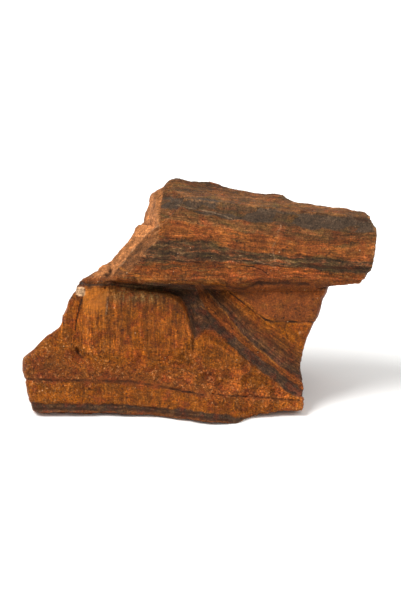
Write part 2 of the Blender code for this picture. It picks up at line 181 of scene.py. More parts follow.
veinsAndHighlights = [
    (0.18, 0.9, [(91.2, 70.6), (89.5, 65.3), (88.4, 62.5), (89.1, 57.5)]),
    (0.16, 0.8, [(52.0, 77.8), (60.0, 76.6), (68.0, 74.8), (74.0, 72.8)]),
    # This vein and the two after it are painted highlights: round the lump on the lip, along the ridge at
    # the ledge's left end, and down the gold plate's right edge.
    (0.16, 0.6, [(79.0, 57.2), (82.5, 57.8), (86.0, 57.0), (90.0, 54.4)]),
    (0.2, 0.7, [(47.6, 70.3), (44.0, 67.8), (38.7, 61.8), (33.4, 55.4)]),
    (0.2, 0.8, [(29.9, 46.5), (29.5, 42.0), (28.6, 36.8)]),
]

# The lines' wander, the same in the shape and in the colour.
lineSeeds = {"cracks": 90, "grooves": 95, "seams": 99, "veinsAndHighlights": 104}

# Small holes on the front, sunk and painted dark as shade: centre and reach (across, up), and depth.
pits = [
    ((30.6, 54.4), (0.6, 0.9), 1.0), ((29.4, 52.9), (1.2, 0.8), 1.3), ((19.0, 26.2), (0.8, 0.9), 0.3),
    ((21.2, 24.0), (1.2, 0.6), 0.25), ((23.4, 52.6), (1.4, 0.5), 0.6), ((52.6, 78.2), (1.4, 1.0), 0.4),
    ((83.8, 49.8), (2.4, 0.8), 0.7),
]

# Places on the front that are lighter or darker than their layer: centre and reach (across, up), and by how
# much, where 1 is twice as bright and -1 half as bright. Most are stains in the stone; some of the dark ones
# are painted shade under the ledge and beside the bulge.
stains = [
    # The first four, and the one at (71.4, 38.7), are painted shade under the ledge's lip and beside the
    # bulge.
    ((55.5, 42.5), (5.0, 7.0), -0.5),
    ((47.0, 45.0), (9.0, 3.5), -0.4),
    ((70.0, 47.5), (16.0, 2.2), -0.7),
    ((100.0, 48.6), (10.0, 1.6), -0.6),
    ((116.0, 54.6), (10.0, 1.8), -0.8),
    ((118.0, 77.0), (14.0, 2.0), 0.5),
    ((95.0, 22.0), (4.0, 9.0), -0.4),
    ((84.0, 43.0), (8.0, 3.5), 0.3),
    ((10.0, 22.0), (8.0, 5.0), -0.35),
    ((66.0, 21.5), (6.0, 2.0), 0.4),
    ((52.0, 60.5), (13.0, 4.0), -0.25),
    ((45.5, 64.0), (2.4, 3.4), 0.35),
    ((38.0, 24.0), (14.0, 2.2), 0.3),
    ((96.0, 8.5), (5.0, 5.0), 0.6),
    ((77.0, 13.5), (8.0, 4.0), 0.25),
    ((45.0, 13.0), (8.0, 2.0), 0.25),
    ((71.4, 38.7), (4.0, 4.0), -0.45),
    ((80.0, 67.0), (6.0, 3.0), -0.3),
    ((62.0, 68.5), (6.0, 2.0), 0.25),
    ((23.0, 45.5), (2.2, 3.0), 0.35),
    ((79.0, 53.6), (4.0, 1.8), 0.3),
    ((100.0, 79.0), (26.0, 3.0), 0.25),
]

# The ledge's flat breaks: three points on each and a direction out of the stone, as (across, up, deep),
# then the part of the front that it takes up (across from, to, up from, to).
ledgeBreaks = {
    "front": [(30, 49, -1.0), (110, 49, -1.0), (60, 79, 7.04), (0, 0, -1), (37, 126, 50, 84)],
    "lip": [(40, 51, -0.5), (110, 51, -0.5), (75, 48.9, 1.6), (0, -1, -1), (40, 120, 47, 52.5)],
    "end facet": [(47.6, 66, 3.1), (38.3, 54.7, 0.1), (38.0, 60.6, 6.0), (-1, 0, -1), (33, 49, 53, 68)],
    "end strip": [(43.6, 66, 7.4), (34.4, 56.1, 5.0), (39.7, 69.9, 15.4), (-1, 1, -1), (26, 46, 54, 71)],
    "bite": [(49.6, 81.3, 7.65), (47.8, 67.5, 3.95), (45.6, 79, 20), (-1, 0, 0), (42, 52, 69, 83)],
    "top": [(58.9, 80.2, 7.5), (122.1, 73.2, 5.5), (70, 83.9, 20.5), (0, 1, -1), (52, 124, 72, 86)],
    "right end": [(124.5, 67, 8), (122.6, 55, 6), (115, 62, 55), (1, 0, 0), (112, 127, 53, 71)],
}

# Centre and reach of the lump on the ledge's lip, which no break takes off.
lipLump = ((78.0, 51.5), (8.0, 4.5))

# Where the left end of the ledge turns into its facet and its strip, as (up, across) points.
facetEdge = [(50, 34.0), (54.7, 38.3), (58.2, 41.2), (61.8, 44.0), (66, 47.8), (77, 48.4), (84, 50.0)]
stripEdge = [(50, 30.0), (55.4, 33.4), (61.8, 38.7), (67.8, 44.0), (70.3, 47.6), (77, 48.3), (84, 49.5)]

# The chippy quartz and the granular shoulder: centre and reach (across, up), and how strong.
chippyParts = [((78, 14), (21, 9), 1.6), ((63, 22), (7, 4), 1.0)]
shoulder = ((12, 22), (15, 10), 1.5)

stoneForm = {
    "gridMm": 0.38,        # spacing of the fine surface
    "smoothing": 4,        # passes that round off the coarse facets
    "triangles": 192000, "backSaving": 0.6,
    "breakSize": 8.0, "breakDepth": 0.38,     # flat-faced breaks, in mm
    "chipSize": 3.6, "chipDepth": 0.65,       # shell-shaped chips in the coarse quartz
    "splinterSize": 1.3, "splinterDepth": 0.35,    # upright fibres that stand out from the bulge
    "layerSize": 1.6, "layerDepth": 0.3,      # thin layers, worn back unevenly
    "grainSize": 1.2, "grainDepth": 0.2,     # granular rock all over
    "crackDepth": 0.45, "grooveDepth": 0.3,
    "smallChipShare": 0.35, "smallChipScale": 0.45,     # small chips on the big ones
    "rougherBehind": 1.5, "plateProud": 0.45,
    "flatFoot": 0.25,      # what lies lower than this rests on the ground
    "bendScale": 2.2,      # how strongly edges and hollows are marked for the material
    "seed": 11,
}


def ramp(values, low, high):
    t = np.clip((values - low) / (high - low), 0.0, 1.0)
    return t * t * (3.0 - 2.0 * t)


def beddingPlace(points):
    # (across, up, deep) of points in metres
    lean = radians(leanDegrees)
    x, y, z = ((points - np.array(cadBox[0])) / mm - np.array(beddingZero)).T
    return np.stack([x, y * sin(lean) + z * cos(lean), y * cos(lean) - z * sin(lean)], axis=1)


tableRows = 4096     # rows in the tables of random numbers
scatter = (73856093, 19349663, 83492791, 2654435)     # spreads lattice places and seeds over those rows


def latticeIndex(spots, seed):
    a, b, c = spots.astype(np.int64).T
    mixed = a * scatter[0] ^ b * scatter[1] ^ c * scatter[2] ^ seed * scatter[3]
    return mixed & (tableRows - 1)


fullRange = 1.6     # brings gradient noise to about -1 to 1


def smoothNoise(points, seed):
    # gradient noise, about -1 to 1, with one lattice step to a unit
    slopes = np.random.default_rng(seed).normal(size=(tableRows, 3))
    slopes /= np.linalg.norm(slopes, axis=1)[:, None]
    base = np.floor(points)
    inside = points - base
    fade = inside ** 3 * (inside * (inside * 6 - 15) + 10)
    total = np.zeros(len(points))
    for corner in product((0, 1), repeat=3):
        corner = np.array(corner)
        weight = np.prod(np.where(corner == 1, fade, 1 - fade), axis=1)
        total += weight * np.sum(slopes[latticeIndex(base + corner, seed)] * (inside - corner), axis=1)
    return total * fullRange


def fractalNoise(points, seed, octaves=3):
    total = np.zeros(len(points))
    for octave in range(octaves):
        total += smoothNoise(points * 2.0 ** octave, seed + octave) * 0.55 ** octave
    return total


farOff = 9.0     # higher than any shell
shellHollow = 1.1
shellMean = 0.12
shellRange = 1.7     # with the mean, brings the heights to about -1 to 1


def brokenShells(points, seed, tilt):
    # tilted, slightly hollow faces that meet in sharp ridges, as struck quartz breaks: the height, about -1
    # to 1, and a number from 0 to 1 for each face
    tables = np.random.default_rng(seed)
    offsets = tables.random((tableRows, 3))
    tilts = tables.normal(size=(tableRows, 3))
    tilts *= tilt / np.linalg.norm(tilts, axis=1)[:, None]
    numbers = tables.random(tableRows)
    base = np.floor(points)
    height = np.full(len(points), farOff)
    shell = np.zeros(len(points))
    for step in product((-1, 0, 1), repeat=3):
        spot = base + np.array(step)
        index = latticeIndex(spot, seed)
        away = points - (spot + offsets[index])
        here = np.sum(away * tilts[index], axis=1) + shellHollow * np.sum(away * away, axis=1)
        shell = np.where(here < height, numbers[index], shell)
        height = np.minimum(height, here)
    return shellRange * (height - shellMean), shell


topOfLayers = 97.0
thinnestLayer = 0.06


def layerNumber(across, up):
    # counts the layers upwards: 3.5 is halfway through the fourth
    heights = np.array([np.interp(across, *zip(*layer["foot"])) for layer in layers.values()])
    heights = np.vstack([heights, np.full(len(across), topOfLayers)])
    for k in range(1, len(heights)):
        heights[k] = np.maximum(heights[k], heights[k - 1] + thinnestLayer)
    number = np.zeros(len(across))
    for k in range(len(heights) - 1):
        share = (up - heights[k]) / (heights[k + 1] - heights[k])
        number = np.where(share >= 0, k + np.minimum(share, 1.0), number)
    return number


def inLayers(number, first, last, soft=0.12):
    # 1 from the foot of one layer to the foot of another, both given by name
    names = list(layers)
    low = names.index(first)
    high = names.index(last)
    return ramp(number, low - soft, low + soft) * (1 - ramp(number, high - soft, high + soft))


def aboveFoot(number, name, soft=0.1):
    # 1 above the foot of a layer, given by name
    foot = list(layers).index(name)
    return ramp(number, foot - soft, foot + soft)


def distanceTo(across, up, line):
    nearest = np.full(len(across), 99.0)
    for (x0, y0), (x1, y1) in zip(line, line[1:]):
        dx, dy = x1 - x0, y1 - y0
        t = np.clip(((across - x0) * dx + (up - y0) * dy) / (dx * dx + dy * dy), 0, 1)
        nearest = np.minimum(nearest, np.hypot(across - x0 - t * dx, up - y0 - t * dy))
    return nearest


def spread(across, up, centre, reach):
    return np.exp(-((across - centre[0]) / reach[0]) ** 2 - ((up - centre[1]) / reach[1]) ** 2)


def meshArrays(mesh):
    points = np.zeros(len(mesh.vertices) * 3, np.float32)
    mesh.vertices.foreach_get("co", points)
    normals = np.zeros(len(mesh.vertices) * 3, np.float32)
    mesh.vertex_normals.foreach_get("vector", normals)
    edges = np.zeros(len(mesh.edges) * 2, np.int32)
    mesh.edges.foreach_get("vertices", edges)
    return points.reshape(-1, 3).astype(float), normals.reshape(-1, 3).astype(float), edges.reshape(-1, 2)


def averaged(values, edges, passes):
    # each vertex moves halfway to the mean of its neighbours, over and over
    count = np.bincount(edges.ravel(), minlength=len(values)).astype(float)
    for _ in range(passes):
        columns = []
        for column in values.T:
            sums = np.bincount(edges[:, 0], column[edges[:, 1]], len(column))
            sums += np.bincount(edges[:, 1], column[edges[:, 0]], len(column))
            columns.append(0.5 * column + 0.5 * sums / count)
        values = np.stack(columns, axis=1)
    return values


def setPoints(mesh, points):
    mesh.vertices.foreach_set("co", points.astype(np.float32).ravel())
    mesh.update()


def withModifier(obj, name, kind, settings):
    modifier = obj.modifiers.new(name, kind)
    for key, value in settings.items():
        setattr(modifier, key, value)
    bpy.context.view_layer.update()
    mesh = bpy.data.meshes.new_from_object(obj.evaluated_get(bpy.context.evaluated_depsgraph_get()))
    obj.modifiers.clear()
    obj.data = mesh


def acrossStone(point):
    # the direction of an (across, up, deep) one, in the stone's own axes
    lean = radians(leanDegrees)
    across, up, deep = point
    return np.array([across, up * sin(lean) + deep * cos(lean), up * cos(lean) - deep * sin(lean)])


def sharpened(points, normals, reach=1.5):
    # moves what lies near a flat break onto it, so that neighbouring breaks meet in crisp edges
    for _ in range(3):
        for first, second, third, outward, within in ledgeBreaks.values():
            place = beddingPlace(points)
            a, b, c = (np.array(corner, float) for corner in (first, second, third))
            normal = np.cross(b - a, c - a)
            normal *= np.sign(normal @ np.array(outward)) / np.linalg.norm(normal)
            off = (place - a) @ normal
            low, high = place[:, :2] - (within[0], within[2]), (within[1], within[3]) - place[:, :2]
            inside = ramp(np.minimum(low, high).min(axis=1), 0.0, 1.5) * (1 - ramp(place[:, 2], 26.0, 30.0))
            facing = ramp(normals @ acrossStone(normal), 0.1, 0.4)
            near = np.where(off > 0, off / 2.2, -off)     # what stands proud is taken from further off
            offLump = 1 - spread(*place[:, :2].T, *lipLump)
            hold = inside * facing * (1 - ramp(near, reach * 0.5, reach)) * offLump
            points = points - (off * hold)[:, None] * acrossStone(normal) * mm
    return points


def withoutSpikes(points, edges, most=0.2):
    # draws back whatever stands more than so many millimetres off its neighbours
    for _ in range(3):
        middle = averaged(points, edges, 1)
        off = points - middle
        far = np.linalg.norm(off, axis=1)[:, None] / mm
        points = middle + off * np.minimum(1.0, most / np.maximum(far, 0.001))
    return points


insideDepth = (9.0, 30.0)
frontDepth = (14.0, 20.0)     # what is only on the front fades out over these depths

# How the edges of the layers wander: how far, over how many millimetres, and the seed.
wander = {
    "acrossInside": (4.5, 21.0, 70), "upInside": (2.5, 17.0, 71), "upFront": (0.6, (5.0, 3.0, 5.0), 72),
    "across": (0.4, 1.9, 73), "up": (0.25, 1.7, 74), "ledgeEnd": (0.15, 1.9, 73),
}


def wandering(place, name):
    far, span, seed = wander[name]
    return far * smoothNoise(place / span, seed)


def rockKinds(points):
    # what kind of rock each point is: its layer, and shares from 0 to 1
    place = beddingPlace(points)
    across, up, deep = place.T
    inside = ramp(deep, *insideDepth)     # behind the front the layers wander more and more
    bentAcross = across + wandering(place, "acrossInside") * inside + wandering(place, "across")
    bentUp = up + wandering(place, "upInside") * inside
    bentUp = bentUp + wandering(place, "upFront") + wandering(place, "up")
    number = layerNumber(bentAcross, bentUp)
    chippy = sum(spread(across, up, centre, reach) * strength for centre, reach, strength in chippyParts)
    baseBand = list(layers).index("base band")
    chippy = np.clip(chippy, 0, 1) * (1 - aboveFoot(number, "diagonal dark"))
    chippy = chippy * ramp(number, baseBand + 0.2, baseBand + 0.6)
    plate = goldPlate(place)
    fibrous = inLayers(number, "fibrous bulge", "diagonal dark") * (1 - 0.7 * chippy) * (1 - 0.8 * plate)
    layered = 0.6 * inLayers(number, "diagonal dark", "smooth flake")
    layered = layered + inLayers(number, "fine dark", "orange")
    layered = layered + 0.6 * inLayers(number, "orange", "grey")
    layered = layered + 0.6 * inLayers(number, "lip", "fine dark")
    layered = layered + 0.6 * aboveFoot(number, "top strip")
    fibrous = fibrous + 0.35 * inLayers(number, "base band", "bench")
    smooth = 0.8 * inLayers(number, "smooth flake", "lip") + 0.6 * inLayers(number, "grey", "top strip")
    centre, reach, strength = shoulder
    grainy = spread(across, up, centre, reach) * strength * (1 - ramp(up, 30, 36))
    grainy = grainy + 0.3 * inLayers(number, "lip", "fine dark")
    grainy = grainy + 0.4 * inLayers(number, "base band", "bench")
    grainy = grainy + 0.7 * inLayers(number, "granular", "fibrous bulge") + 0.5 * chippy
    faceEdge = np.interp(up, *zip(*facetEdge))
    ridge = np.interp(up, *zip(*stripEdge))
    onLedge = ramp(up, 51.0, 53.5) * (1 - ramp(deep, 24.0, 32.0))
    raggedAcross = across + wandering(place, "ledgeEnd")
    endFacet = onLedge * (1 - ramp(raggedAcross - faceEdge, -0.3, 0.3))
    smooth = np.maximum(np.maximum(smooth, plate), 0.8 * endFacet)
    layered = layered * (1 - 0.85 * endFacet)
    endStrip = onLedge * (1 - ramp(raggedAcross - ridge, -0.35, 0.35))
    return {
        "place": place, "layer": number, "chippy": chippy, "fibrous": np.clip(fibrous, 0, 1),
        "layered": np.clip(layered, 0, 1), "smooth": smooth,
        "grainy": np.clip(grainy * (1 - 0.5 * inside), 0, 1), "inside": inside,
        "plate": plate, "endFacet": endFacet, "endStrip": endStrip,
    }


def nearLines(place, lines, seed, broken=0.5):
    # 1 on any of the lines and 0 away from them; they wander a little and fade in and out
    across, up, deep = place.T
    across = across + 0.45 * smoothNoise(place / 4.3, seed) + 0.16 * smoothNoise(place / 1.3, seed + 1)
    up = up + 0.45 * smoothNoise(place / 4.1, seed + 2) + 0.16 * smoothNoise(place / 1.2, seed + 3)
    share = np.zeros(len(across))
    for half, strength, line in lines:
        share = np.maximum(share, strength * np.exp(-(distanceTo(across, up, line) / half) ** 2))
    fading = 1 - broken * ramp(smoothNoise(place / 3.4, seed + 4), -0.3, 0.5)
    return share * fading * (1 - ramp(deep, *frontDepth))


def goldPlate(place):
    # the smooth golden plate at the upper left of the bulge
    across, up, deep = place.T
    across = across + 0.5 * smoothNoise(place / 3.0, 40) + 0.2 * smoothNoise(place / 1.1, 41)
    foot = up + 2.5 * smoothNoise(place / (2.0, 6.0, 6.0), 42)
    side = ramp(across, 20.4, 21.2) * (1 - ramp(across + 0.15 * (44 - up), 29.5, 30.0))
    return side * ramp(foot, 37.0, 43.0) * (1 - ramp(up, 47.4, 48.4)) * (1 - ramp(deep, 12.0, 16.0))


def roughen(points, normals):
    form = stoneForm
    kinds = rockKinds(points)
    place, number = kinds["place"], kinds["layer"]
    across, up, deep = place.T
    calm = 1 - 0.7 * kinds["smooth"]
    out = form["breakDepth"] * brokenShells(place / form["breakSize"], form["seed"], 0.9)[0] * calm
    out *= 1 + form["rougherBehind"] * kinds["inside"]
    chips = brokenShells(place / form["chipSize"], form["seed"] + 1, 1.1)[0]
    smallPlace = place / (form["chipSize"] * form["smallChipScale"])
    chips = chips + form["smallChipShare"] * brokenShells(smallPlace, form["seed"] + 2, 1.1)[0]
    out += form["chipDepth"] * chips * (0.12 + 0.2 * kinds["grainy"] + 0.78 * kinds["chippy"]) * calm
    upright = place / (1.0, 6.5, 2.2) / form["splinterSize"]
    out += form["splinterDepth"] * fractalNoise(upright, form["seed"] + 3, 2) * kinds["fibrous"]
    bedUp = bedHeight(number)
    laminae = np.stack([across / 14.0, bedUp / form["layerSize"], deep / 14.0], axis=1)
    out += form["layerDepth"] * fractalNoise(laminae, form["seed"] + 4, 2) * (0.3 + 0.7 * kinds["layered"])
    grain = fractalNoise(place / form["grainSize"], form["seed"] + 5, 2)
    out += form["grainDepth"] * grain * (0.3 + 0.5 * calm + 0.9 * kinds["grainy"])
    spans = [k + side for k in range(len(layers)) for side in (0.1, 0.9)]
    prouds = [layer["proud"] for layer in layers.values() for side in (0, 1)]
    out += np.interp(number, spans, prouds)
    out -= form["crackDepth"] * nearLines(place, cracks, lineSeeds["cracks"])
    out -= form["grooveDepth"] * nearLines(place, grooves, lineSeeds["grooves"])
    for centre, reach, depth in pits:
        out -= depth * spread(across, up, centre, reach) * (1 - ramp(deep, *frontDepth))
    out += form["plateProud"] * goldPlate(place)
    return out * ramp(points[:, 2] / mm, 0.0, 2.0)    # the resting face stays flat


def bedHeight(number):
    # millimetres up through the layers, each at its own full thickness
    tops = np.cumsum([0.0] + [layer["thick"] for layer in layers.values()])
    return np.interp(number, range(len(tops)), tops)


def makeStone():
    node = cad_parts["tigers_eye"]
    stone = bpy.data.objects.new("roughStone", node.data.copy())
    bpy.context.scene.collection.objects.link(stone)
    withModifier(stone, "fineGrid", "REMESH", {"mode": "VOXEL", "voxel_size": stoneForm["gridMm"] * mm})
    points, normals, edges = meshArrays(stone.data)
    print("stone: fine grid of", len(points), "points")
    flat = points[:, 2] < stoneForm["flatFoot"] * mm
    rounded = averaged(points, edges, stoneForm["smoothing"])
    rounded = averaged(sharpened(rounded, normals), edges, 1)
    rounded[flat, 2] = points[flat, 2]
    setPoints(stone.data, rounded)
    points, normals, edges = meshArrays(stone.data)
    points = points + normals * roughen(points, averaged(normals, edges, 2))[:, None] * mm
    points = withoutSpikes(points, edges)
    points[:, 2] = np.maximum(points[:, 2], 0.0)
    setPoints(stone.data, points)
    stone.data.calc_loop_triangles()
    share = stoneForm["triangles"] / len(stone.data.loop_triangles)
    if share < 1.0:
        # the broken front keeps its fine surface, so the triangles are saved round the back
        place = beddingPlace(points)
        front = ramp(normals @ acrossStone((0, 0, -1)), 0.0, 0.35) * (1 - ramp(place[:, 2], 22.0, 30.0))
        group = stone.vertex_groups.new(name="coarser")
        for step in range(11):
            inStep = np.flatnonzero(np.round((1 - 0.9 * front) * 10) == step)
            group.add(inStep.tolist(), step / 10, "REPLACE")
        withModifier(stone, "thin", "DECIMATE", {
            "ratio": share, "vertex_group": "coarser", "vertex_group_factor": stoneForm["backSaving"]})

    # what the material needs to know about each point
    points, normals, edges = meshArrays(stone.data)
    maps = rockKinds(points)
    place = maps.pop("place")
    across, up, deep = place.T
    shallow = 1 - ramp(deep, 12.0, 20.0)
    maps["bedUp"] = bedHeight(maps["layer"])
    # bend is positive on convex edges and negative in hollows: the material paints highlights on the edges
    # and shade in the hollows from it
    bend = np.sum((points - averaged(points, edges, 5)) * normals, axis=1) / mm
    maps["bend"] = np.clip(bend * stoneForm["bendScale"], -1, 1) * (1 - 0.65 * maps.pop("inside"))
    maps["crack"] = nearLines(place, cracks, lineSeeds["cracks"])
    maps["groove"] = nearLines(place, grooves, lineSeeds["grooves"], 0.7)
    maps["seam"] = nearLines(place, seams, lineSeeds["seams"], 0.7)
    maps["veinAndHighlight"] = nearLines(place, veinsAndHighlights, lineSeeds["veinsAndHighlights"], 0.9)
    # where the pits get their painted shade
    holes = sum(np.clip(depth * spread(across, up, centre, reach), 0, 1) for centre, reach, depth in pits)
    maps["hole"] = holes * shallow
    maps["gold"] = np.clip(0.3 * spread(across, up, (25, 36), (8, 9)) + maps["plate"], 0, 1) * shallow
    maps["bulgeTop"] = np.clip(1.5 * spread(across, up, (41, 46), (10, 3.2)), 0, 1) * shallow
    paleSpot = spread(across + 0.8 * smoothNoise(place / 1.6, 31), up, (20.0, 47.0), (1.9, 1.9))
    maps["paleChip"] = ramp(paleSpot, 0.35, 0.55) * shallow
    # stains in the stone together with painted shade under the ledge and beside the bulge
    stained = sum(stops * spread(across, up, centre, reach) for centre, reach, stops in stains)
    maps["stain"] = stained * shallow
    maps["shell"] = brokenShells(place / stoneForm["chipSize"], stoneForm["seed"] + 1, 1.1)[1]
    maps["face"] = brokenShells(place / stoneForm["breakSize"], stoneForm["seed"], 0.9)[1]
    for name, values in maps.items():
        attribute = stone.data.attributes.new(name, "FLOAT", "POINT")
        attribute.data.foreach_set("value", values.astype(np.float32))
    stone.data.shade_smooth()
    print("stone: roughened,", len(stone.data.polygons), "faces")
    return stone, list(maps)


def linear(hexColour):
    parts = [int(hexColour[k:k + 2], 16) / 255 for k in (1, 3, 5)]
    return tuple(p / 12.92 if p <= 0.04045 else ((p + 0.055) / 1.055) ** 2.4 for p in parts) + (1.0,)


def addNode(tree, kind, *inputs, out=None, **settings):
    # makes a node with its settings, sets or links its inputs in order, and gives back one output
    node = tree.nodes.new("ShaderNode" + kind)
    for key, value in settings.items():
        setattr(node, key, value)
    sockets = [socket for socket in node.inputs if socket.enabled]
    for socket, value in zip(sockets, inputs):
        if isinstance(value, bpy.types.NodeSocket):
            tree.links.new(value, socket)
        elif value is not None:
            socket.default_value = value
    return node.outputs[out] if out else next(socket for socket in node.outputs if socket.enabled)


def fillRamp(socket, stops):
    band = socket.node.color_ramp
    band.elements[0].position, band.elements[0].color = stops[0]
    band.elements.remove(band.elements[-1])
    for position, colour in stops[1:]:
        band.elements.new(position).color = colour


# Tiger's eye as it is quarried: silky golden quartz fibres between bands of iron oxide and dull jasper.
# Broken, not polished, so it is dull and grainy with a faint silk on the fibres.
tigersEye = {
    "amber": "#7b3f00",      # silky fibres
    "rust": "#703810",       # quartz grains stained by iron
    "limonite": "#80461b",      # yellow-brown iron ochre
    "tawny": "#6b4423",      # ochre and quartz mixed
    "jasper": "#4b3621",      # dull grey-brown
    "ironBrown": "#3d2b1f",      # iron oxide
    # Of these, iron is the dark of iron oxide and also painted shade in hollows and pits; umber darkens worn
    # grooves and is also painted shadow under the ledge; dust is the pale of crumbs and also painted
    # highlights on convex edges; endStrip is partly painted light.
    "fibrous": "#864410", "gold": "#b8681c", "chip": "#984e18", "pale": "#d8ab80", "endFacet": "#6c4222",
    "endStrip": "#b07040", "ironAndShade": "#1f130c", "slate": "#48382a", "olive": "#524020",
    "red": "#8c4520", "rustRed": "#702c10",
    "ochre": "#7d4a14", "umberAndShade": "#3a1e0c", "dust": "#c08450", "bulgeTop": "#6c5430", "seamGold": "#95581f",
    "roughness": 0.6,
    "ior": 1.544,         # quartz
    "gloss": 0.14,        # most of the shine is lost in the broken surface
    "bumpMm": 0.7,
}
fibreMm = 0.6       # real fibres are finer, about 0.1 mm: drawn this coarse so that they show
grainMm = 0.7
cleftMm = 3.2       # how far apart the fine clefts in the chippy quartz are
speckMm = 1.5
alongBeds = 0.06       # how much slower the layers' patterns change along a layer than up through them

# Where the ledge and its grey layer begin, in millimetres up through the layers at their full thickness.
ledgeFoot = (76, 79)
greyFoot = (101, 103)


def upLayers(name, more):
    # so many layers up from the foot of one, as a share of them all
    return (list(layers).index(name) + more) / len(layers)


# Patterns, each about 0.5 on average: where it runs, how many to a millimetre there, detail and roughness.
patterns = {
    "grain": ("leaned", 1 / grainMm, 3, 0.75), "coarse": ("leaned", 0.42, 3, 0.6),
    "dust": ("leaned", 2.0, 1, 0.6), "crumbs": ("leaned", 0.8, 3, 0.7),
    "blotches": ("leaned", 0.16, 3, 0.55), "hue": ("leaned", 0.26, 3, 0.6),
    "patches": ("bedPatch", 1.0, 4, 0.65),
    "fibres": ("fibreSpace", 1.0, 3, 0.7), "bundles": ("bundleSpace", 1.0, 3, 0.6),
    "bedGrain": ("bedGrain", 1.0, 3, 0.7), "laminae": ("bed", 1.4, 4, 0.7), "beds": ("bed", 0.3, 3, 0.6),
}

# Colours laid over the layers one after another: the colour, then what limits it, each limit as what, from,
# to, least and most.
overlays = [
    ("fibrous", ("fibrous", 0, 1, 0, 1), ("blotches", 0.35, 0.7, 0, 1)),
    ("gold", ("gold", 0, 1, 0, 1), ("fibres", 0.3, 0.62, 0.35, 1)),
    ("bulgeTop", ("bulgeTop", 0, 1, 0, 1), ("fibres", 0.4, 0.6, 0.15, 0.9)),
    ("chip", ("chippy", 0, 1, 0, 1), ("shell", 0.45, 0.75, 0, 0.8)),
    ("ochre", ("hue", 0.5, 0.66, 0, 0.35), ("layered", 0, 1, 1, 0.3)),
    ("rustRed", ("hue", 0.5, 0.36, 0, 0.6), ("layered", 0, 1, 1, 0.4), ("smooth", 0, 0.6, 1, 0.15)),
    ("red", ("patches", 0.52, 0.66, 0, 1), ("bedUp", *ledgeFoot, 0.15, 0.6), ("bedUp", *greyFoot, 1, 0.4)),
    ("olive", ("patches", 0.47, 0.35, 0, 1), ("bedUp", *ledgeFoot, 0.1, 0.65)),
    ("slate", ("slab", 0.3, 0.35, 0, 0.9),
     ("height", upLayers("grey", -0.1), upLayers("grey", 0.05), 0, 1),
     ("height", upLayers("grey", 0.9), upLayers("grey", 1.02), 1, 0)),
    ("endFacet", ("endFacet", 0, 1, 0, 0.85)),
    # the strip at the ledge's left end is lighter, partly its own colour and partly painted light falling
    # from the left
    ("endStrip", ("endStrip", 0, 1, 0, 0.85)),
    ("pale", ("paleChip", 0, 1, 0, 1)),
    ("seamGold", ("seam", 0.05, 0.8, 0, 0.8)),
    # painted highlight: convex edges lightened to the pale dust colour
    ("dust", ("bend", 0.12, 0.7, 0, 0.5), ("layered", 0, 1, 1, 0.3)),
    ("dust", ("crumbs", 0.58, 0.7, 0, 0.6), ("grainy", 0, 1, 0.15, 1)),
]

# Lighter and darker, in doublings: what, by which kind of rock, and how strong without and with it.
tones = [
    ("grain", "grainy", 2.2, 3.2), ("dust", "grainy", 2.8, 4.0), ("coarse", "smooth", 2.4, 1.0),
    ("blotches", "smooth", 1.0, 1.0), ("fibres", "fibrous", 0.6, 4.0), ("bundles", "fibrous", 0.7, 3.0),
    ("bedGrain", "layered", 1.0, 4.0), ("laminae", "layered", 1.2, 6.4), ("beds", "layered", 1.4, 2.8),
    ("patches", "layered", 0.4, 0.9),
    ("coarse", "endFacet", 0.0, 2.2), ("bundles", "endFacet", 0.0, 1.4),
    ("grain", "plate", 0.0, -1.4), ("dust", "plate", 0.0, -2.0),
    ("face", "chippy", 0.3, 0.3), ("shell", "chippy", 0.0, 0.4),
]

# Laid over all that, in the same way as the overlays.
darkest = [
    ("ironAndShade", ("laminae", 0.42, 0.3, 0, 1), ("layered", 0, 1, 0.1, 0.5)),
    # painted shade: hollows darkened
    ("ironAndShade", ("bend", -0.12, -0.8, 0, 0.75)),
    ("ironAndShade", ("cleft", 0.07, 0.015, 0, 0.55), ("chippy", 0, 1, 0.03, 1), ("coarse", 0.42, 0.56, 0, 1)),
    ("ironAndShade", ("pick", 0.75, 0.8, 0, 0.6), ("nearPick", 0.34, 0.18, 0, 1)),
    # the worn grooves' own dark, and painted shadow along the ledge's lip
    ("umberAndShade", ("groove", 0.05, 0.7, 0, 0.9), ("coarse", 0.3, 0.55, 0.45, 1)),
    ("ironAndShade", ("crack", 0.1, 0.7, 0, 0.85)),
    # painted shade inside the pits
    ("ironAndShade", ("hole", 0, 1, 0, 0.85)),
    # pale healed veins, and painted highlights along lit edges
    ("pale", ("veinAndHighlight", 0, 1, 0, 1), ("grain", 0.4, 0.6, 0.1, 0.6)),
    ("pale", ("bedGrain", 0.66, 0.76, 0, 0.5), ("layered", 0, 1, 0, 1)),
    # painted glints: sparse pale specks
    ("pale", ("pick", 0.025, 0.015, 0, 0.6), ("nearPick", 0.22, 0.1, 0, 1)),
]


# A ramp holds 32 colours. Most layers take two of them, and these take one.
oneStopLayers = ("granular", "second fan", "top strip")


